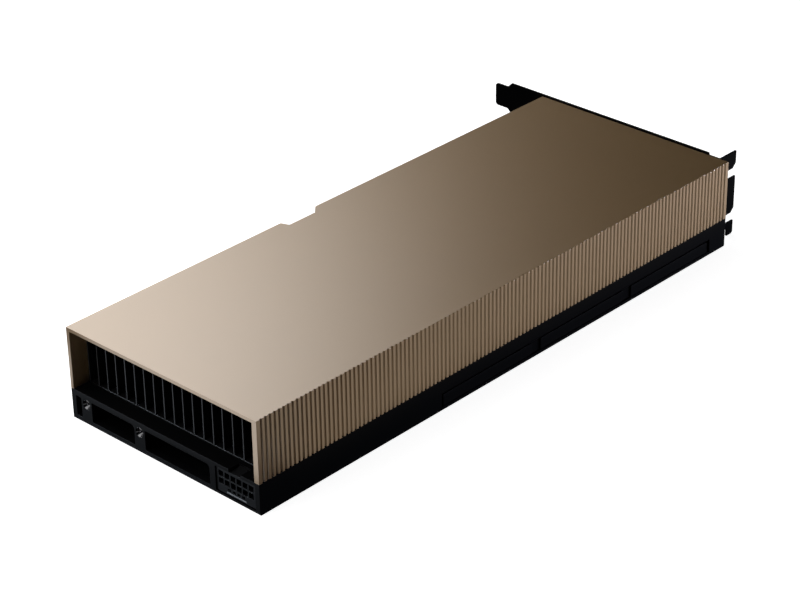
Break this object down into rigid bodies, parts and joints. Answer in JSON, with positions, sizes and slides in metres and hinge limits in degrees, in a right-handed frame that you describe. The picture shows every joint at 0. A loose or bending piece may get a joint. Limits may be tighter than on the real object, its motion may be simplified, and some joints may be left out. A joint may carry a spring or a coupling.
{
  "type": "passive accelerator card",
  "caption": "Dual-slot server accelerator card with a ribbed champagne metal shroud, black frame, finned heat sink inside, tail power socket and slot bracket.",
  "frame": {"origin": "on the resting face, under the middle of the card's overall length and width", "axes": "+X from the open tail to the slot bracket, +Y from the ribbed side to the edge connector, +Z from the back plate to the shroud's top"},
  "size_m": [0.277, 0.1242, 0.039],
  "materials": {
    "champagne_cover": "satin anodised, champagne colour, fine vertical ribs on one long side",
    "black_steel": "blackened steel screws",
    "black_casting": "cast aluminium with a fine matt black coating",
    "plated_steel": "bright plated threaded inserts",
    "black_plate": "aluminium plate with a matt black coating",
    "film": "thin black insulating film",
    "board": "glass epoxy board with black solder mask",
    "gilt": "gold plated contact pads",
    "black_cap": "soft black caps",
    "sink_base": "machined aluminium, darkened",
    "sink_fins": "thin dark fins with bright cut edges",
    "substrate": "green organic substrate",
    "ring_steel": "plated stiffening ring",
    "silicon": "polished silicon",
    "silicon_stack": "moulded memory stacks",
    "compound": "grey thermal compound",
    "stiffener_steel": "stamped steel",
    "clamp_steel": "dark steel shouldered screws",
    "ferrite": "moulded ferrite inductors",
    "chip_mould": "moulded chips",
    "capacitor_mould": "moulded polymer capacitors",
    "soft_pad": "soft grey pads",
    "controller_mould": "moulded chips",
    "connector_plastic": "black moulded housing",
    "pin_gilt": "plated copper alloy pins",
    "signal_gilt": "plated copper alloy pins",
    "shell_steel": "bright tinned steel",
    "bracket_black": "steel sheet with a black coating",
    "bracket_screw_steel": "blackened steel screws",
    "plate_screw_steel": "blackened steel screws"
  },
  "bodies": {
    "root": {"shroud": "champagne_cover", "shroud_screws": "black_steel", "base_frame": "black_casting", "extender_inserts": "plated_steel", "back_plate": "black_plate", "insulation_film": "film", "circuit_board": "board", "edge_contacts": "gilt", "bridge_caps": "black_cap", "heatsink_base": "sink_base", "heatsink_fins": "sink_fins", "processor_package": "substrate", "package_ring": "ring_steel", "processor_die": "silicon", "memory_stacks": "silicon_stack", "thermal_compound": "compound", "stiffener_plate": "stiffener_steel", "clamp_screws": "clamp_steel", "power_inductors": "ferrite", "power_stages": "chip_mould", "polymer_capacitors": "capacitor_mould", "thermal_pads": "soft_pad", "controller_chips": "controller_mould", "power_connector": "connector_plastic", "power_pins": "pin_gilt", "sideband_pins": "signal_gilt", "sideband_shell": "shell_steel", "slot_bracket": "bracket_black", "bracket_screws": "bracket_screw_steel", "back_plate_screws": "plate_screw_steel"}
  },
  "joints": []
}
